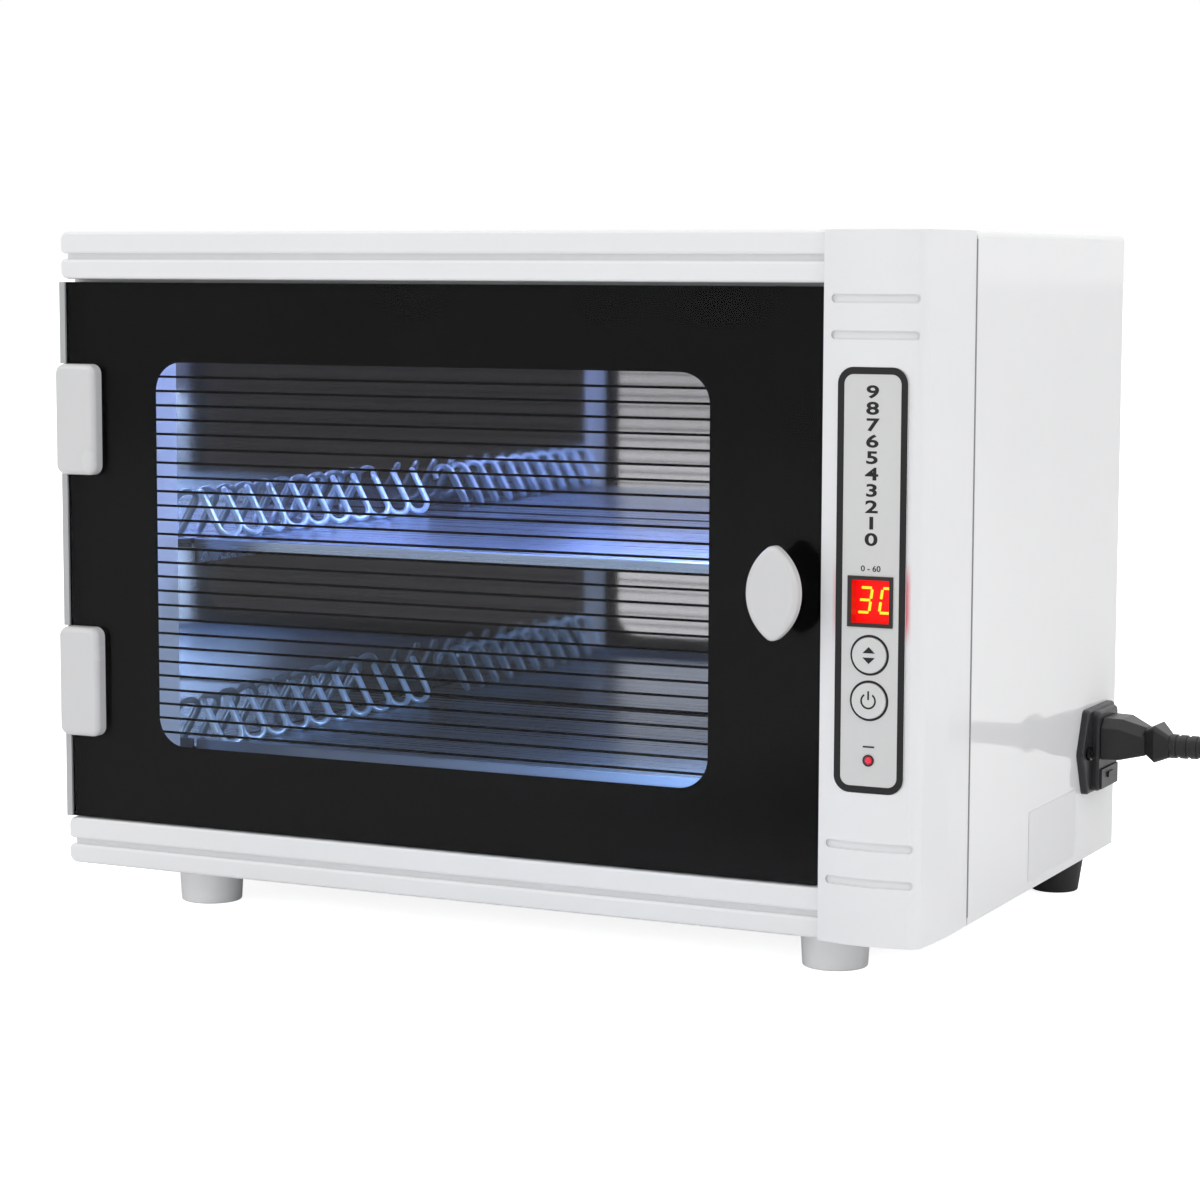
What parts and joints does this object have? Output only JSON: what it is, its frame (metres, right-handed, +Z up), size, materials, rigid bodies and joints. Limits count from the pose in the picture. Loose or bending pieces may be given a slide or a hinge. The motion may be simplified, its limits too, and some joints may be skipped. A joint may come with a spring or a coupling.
{
  "type": "ultraviolet tool sterilizer cabinet",
  "caption": "Tabletop ultraviolet cabinet for nail tools: dark glass door, steel trays with wire racks, timer panel and a coiled mains lead.",
  "frame": {"origin": "on the surface the cabinet stands on, under the middle of the cabinet's box without its lead", "axes": "+Z up, -Y out of the door's front, +X to the right as seen from the front"},
  "size_m": [0.6012, 0.289, 0.2746],
  "materials": {
    "white_metal": "gloss",
    "pan_steel": "satin",
    "white_plastic": "gloss",
    "silver_panel": "satin",
    "dark_frame": "gloss",
    "red_window": "polished",
    "display_face": "matte",
    "lit_figures": "gloss",
    "key_face": "satin",
    "switch_body": "matte",
    "red_lens": "gloss",
    "board": "satin",
    "door_pane": "polished",
    "black_print": "satin",
    "pale_trim": "satin",
    "bright_steel": "polished",
    "hinge_steel": "satin",
    "tray_steel": "satin",
    "rack_wire": "polished",
    "screw_steel": "polished",
    "catch_plastic": "satin",
    "plunger_plastic": "gloss",
    "tube_glass": "polished",
    "holder_plastic": "satin",
    "ballast_case": "satin",
    "black_plastic": "satin",
    "contact_brass": "polished",
    "fuse_glass": "polished",
    "lead_black": "satin",
    "pale_foot": "satin",
    "black_foot": "matte"
  },
  "bodies": {
    "cabinet": {"cabinet_cover": "white_metal", "rear_panel": "white_metal", "base_pan": "pan_steel", "front_frame": "white_plastic", "top_rail": "white_plastic", "bottom_rail": "white_plastic", "control_pod": "white_plastic", "overlay_panel": "silver_panel", "display_bezel": "dark_frame", "display_window": "red_window", "display_module": "display_face", "display_digits": "lit_figures", "select_switch": "switch_body", "power_switch": "switch_body", "power_lamp": "red_lens", "control_board": "board", "lower_hinge_bracket": "hinge_steel", "upper_hinge_bracket": "hinge_steel", "magnet_catch": "catch_plastic", "door_switch": "switch_body", "chamber_liner": "bright_steel", "left_ledge": "tray_steel", "right_ledge": "tray_steel", "left_lamp_holder": "holder_plastic", "right_lamp_holder": "holder_plastic", "lamp_reflector": "bright_steel", "ballast": "ballast_case", "mains_inlet": "black_plastic", "inlet_contacts": "contact_brass", "mains_connector": "lead_black", "strain_relief": "lead_black", "cord_run": "lead_black", "cord_coil": "lead_black", "cord_tail": "lead_black", "mains_plug": "lead_black", "front_left_foot": "pale_foot", "front_right_foot": "pale_foot", "rear_left_foot": "black_foot", "rear_right_foot": "black_foot", "foot_screws": "screw_steel", "cabinet_screws": "screw_steel"},
    "door": {"door_glass": "door_pane", "glass_print": "black_print", "door_edge_strip": "pale_trim", "lower_hinge_clamp": "white_plastic", "upper_hinge_clamp": "white_plastic", "hinge_pins": "hinge_steel", "door_knob": "white_plastic", "knob_screw": "screw_steel", "strike_plate": "hinge_steel"},
    "upper_tray": {"upper_tray": "tray_steel", "upper_rack": "rack_wire"},
    "lower_tray": {"lower_tray": "tray_steel", "lower_rack": "rack_wire"},
    "select_key": {"select_key": "key_face"},
    "power_key": {"power_key": "key_face"},
    "fuse_drawer": {"fuse_drawer": "black_plastic", "fuse": "fuse_glass"},
    "door_plunger": {"door_plunger": "plunger_plastic"},
    "uv_tube": {"uv_tube": "tube_glass"}
  },
  "joints": [
    {"name": "door_hinge", "type": "hinge", "parent": "cabinet", "child": "door", "pos_m": [-0.1886, -0.10795, 0.1445], "axis": [0, 0, -1], "range_deg": [0, 110]},
    {"name": "upper_tray_slide", "type": "slide", "parent": "cabinet", "child": "upper_tray", "axis": [0, -1, 0], "range_m": [0, 0.03]},
    {"name": "lower_tray_slide", "type": "slide", "parent": "cabinet", "child": "lower_tray", "axis": [0, -1, 0], "range_m": [0, 0.03]},
    {"name": "select_press", "type": "slide", "parent": "cabinet", "child": "select_key", "axis": [0, 1, 0], "range_m": [0, 0.0008], "stiffness_N_per_m": 1500, "springref_m": -0.0003},
    {"name": "power_press", "type": "slide", "parent": "cabinet", "child": "power_key", "axis": [0, 1, 0], "range_m": [0, 0.0008], "stiffness_N_per_m": 1500, "springref_m": -0.0003},
    {"name": "fuse_drawer_slide", "type": "slide", "parent": "cabinet", "child": "fuse_drawer", "axis": [1, 0, 0], "range_m": [0, 0.018]},
    {"name": "plunger_press", "type": "slide", "parent": "cabinet", "child": "door_plunger", "axis": [0, 1, 0], "range_m": [0, 0.0015], "stiffness_N_per_m": 400, "springref_m": -0.0005},
    {"name": "tube_twist", "type": "hinge", "parent": "cabinet", "child": "uv_tube", "pos_m": [-0.025, 0.01755, 0.2335], "axis": [1, 0, 0], "range_deg": [0, 90]}
  ]
}
